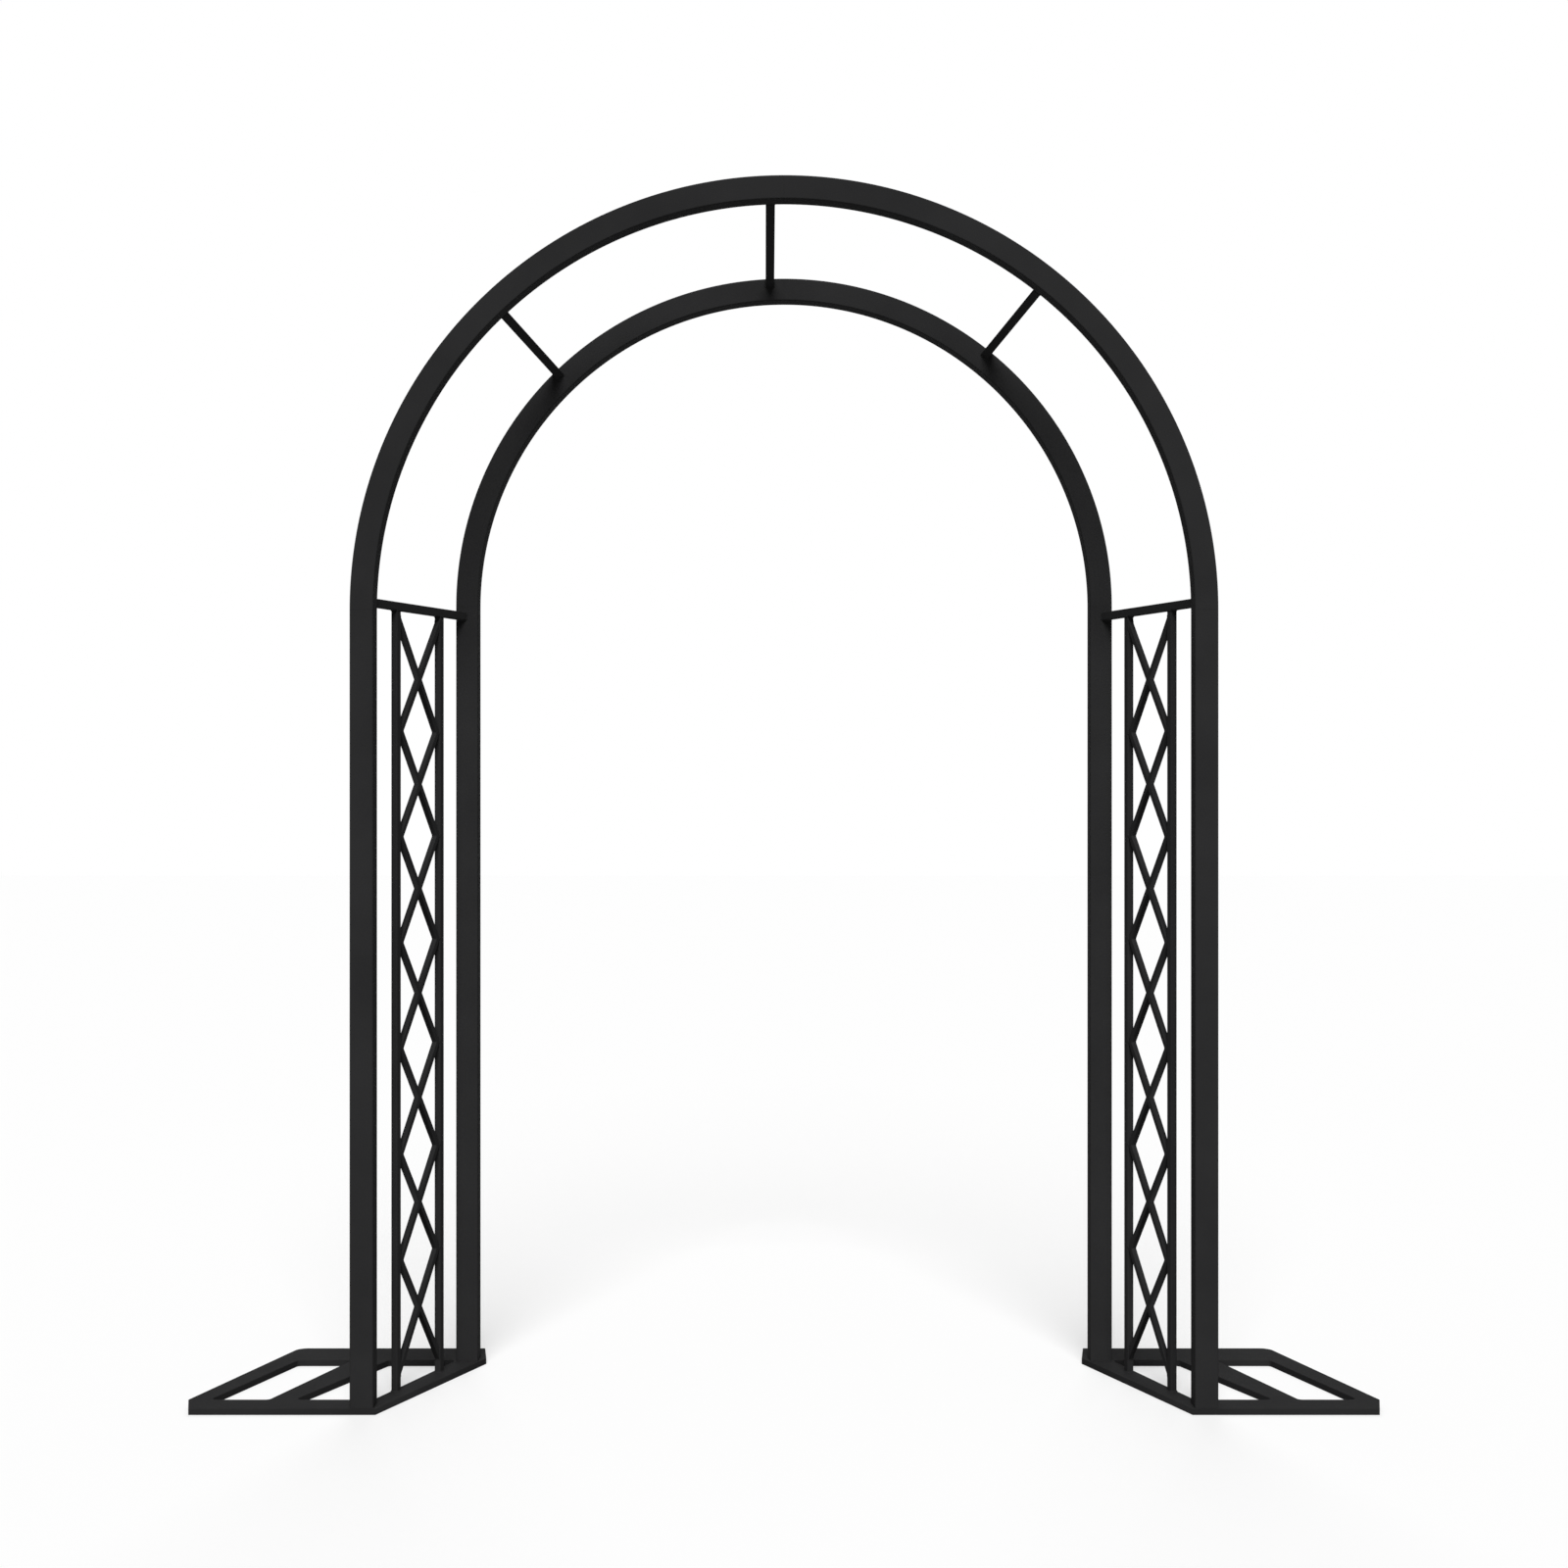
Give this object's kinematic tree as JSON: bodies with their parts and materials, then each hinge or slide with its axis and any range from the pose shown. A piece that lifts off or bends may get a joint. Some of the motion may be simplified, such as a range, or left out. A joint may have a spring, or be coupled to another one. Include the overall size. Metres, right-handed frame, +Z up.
{
  "type": "wedding arch",
  "caption": "Free-standing round-topped metal arch: a larger front hoop and a smaller back hoop joined by lattice side panels and rungs, standing on slotted flat foot plates",
  "frame": {"origin": "Middle of the footprint, on the floor under the foot plates", "axes": "+X to the right seen from the front, +Y from the larger front arch to the smaller back arch, +Z up"},
  "size_m": [2.1446, 0.442, 2.2],
  "materials": {
    "black_powder_coat": "fine low-gloss black powder coat on steel"
  },
  "bodies": {
    "root": {"foot_plate_left": "black_powder_coat", "foot_plate_right": "black_powder_coat", "front_post_left": "black_powder_coat", "front_post_right": "black_powder_coat", "front_arch_tube_left": "black_powder_coat", "front_arch_tube_right": "black_powder_coat", "back_post_left": "black_powder_coat", "back_post_right": "black_powder_coat", "back_arch_tube_left": "black_powder_coat", "back_arch_tube_right": "black_powder_coat", "cross_bar_left": "black_powder_coat", "cross_bar_right": "black_powder_coat", "front_stile_left": "black_powder_coat", "front_stile_right": "black_powder_coat", "back_stile_left": "black_powder_coat", "back_stile_right": "black_powder_coat", "lattice_left": "black_powder_coat", "lattice_right": "black_powder_coat", "rung_left": "black_powder_coat", "rung_top": "black_powder_coat", "rung_right": "black_powder_coat"}
  },
  "joints": []
}
